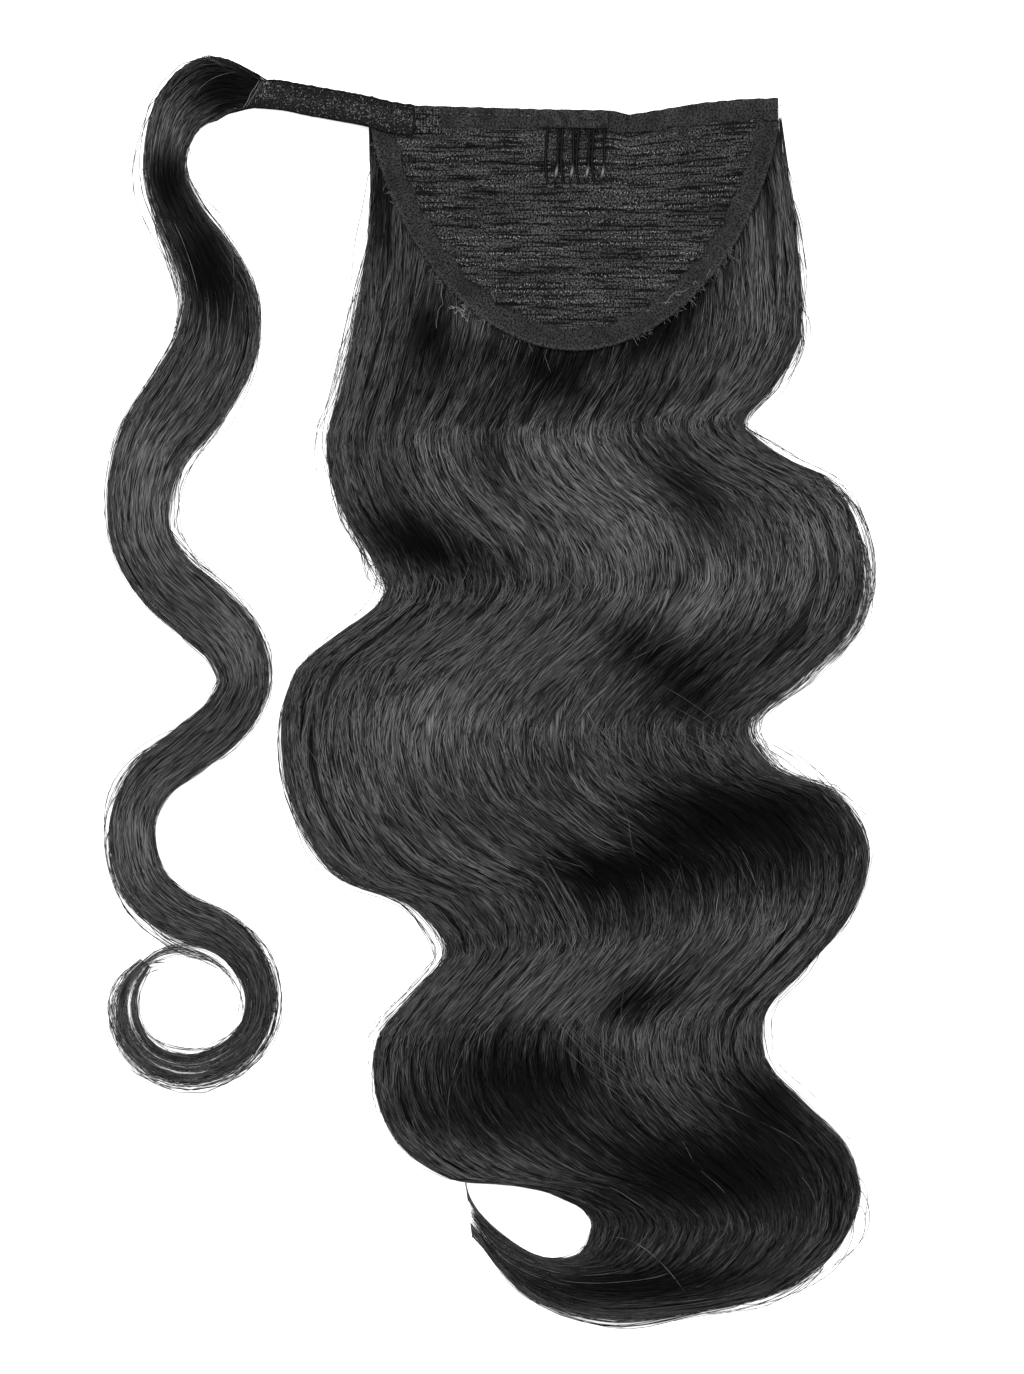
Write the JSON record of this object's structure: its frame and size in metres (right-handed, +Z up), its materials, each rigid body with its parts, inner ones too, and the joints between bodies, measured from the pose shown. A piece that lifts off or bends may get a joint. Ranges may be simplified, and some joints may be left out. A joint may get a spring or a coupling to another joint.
{
  "type": "wrap-around ponytail hairpiece",
  "caption": "Long wavy ponytail hairpiece laid flat: D-shaped knit base with a wire comb, a hook-and-loop strap and a narrow wrap lock.",
  "frame": {"origin": "on the surface that the hairpiece lies on, under the middle of its bounding box", "axes": "+Z up from the surface through the inner side of the base, +Y from the hair's tips towards the base's straight top edge, +X to the side away from the wrap lock"},
  "size_m": [0.2567, 0.4286, 0.0256],
  "materials": {
    "knit": "black knit with raised courses",
    "hem": "smooth black jersey, matt",
    "wire": "black lacquered wire, glossy at the tips",
    "loop_tape": "black hook-and-loop tape, fuzzy",
    "hair": "natural black hair fibre, satin sheen along the strands"
  },
  "bodies": {
    "root": {"base_panel": "knit", "edge_hem": "hem", "top_hem": "hem", "comb_tape": "hem", "comb": "wire", "strap_anchor": "knit", "strap": "loop_tape", "hair_fall": "hair", "wrap_lock": "hair"}
  },
  "joints": []
}
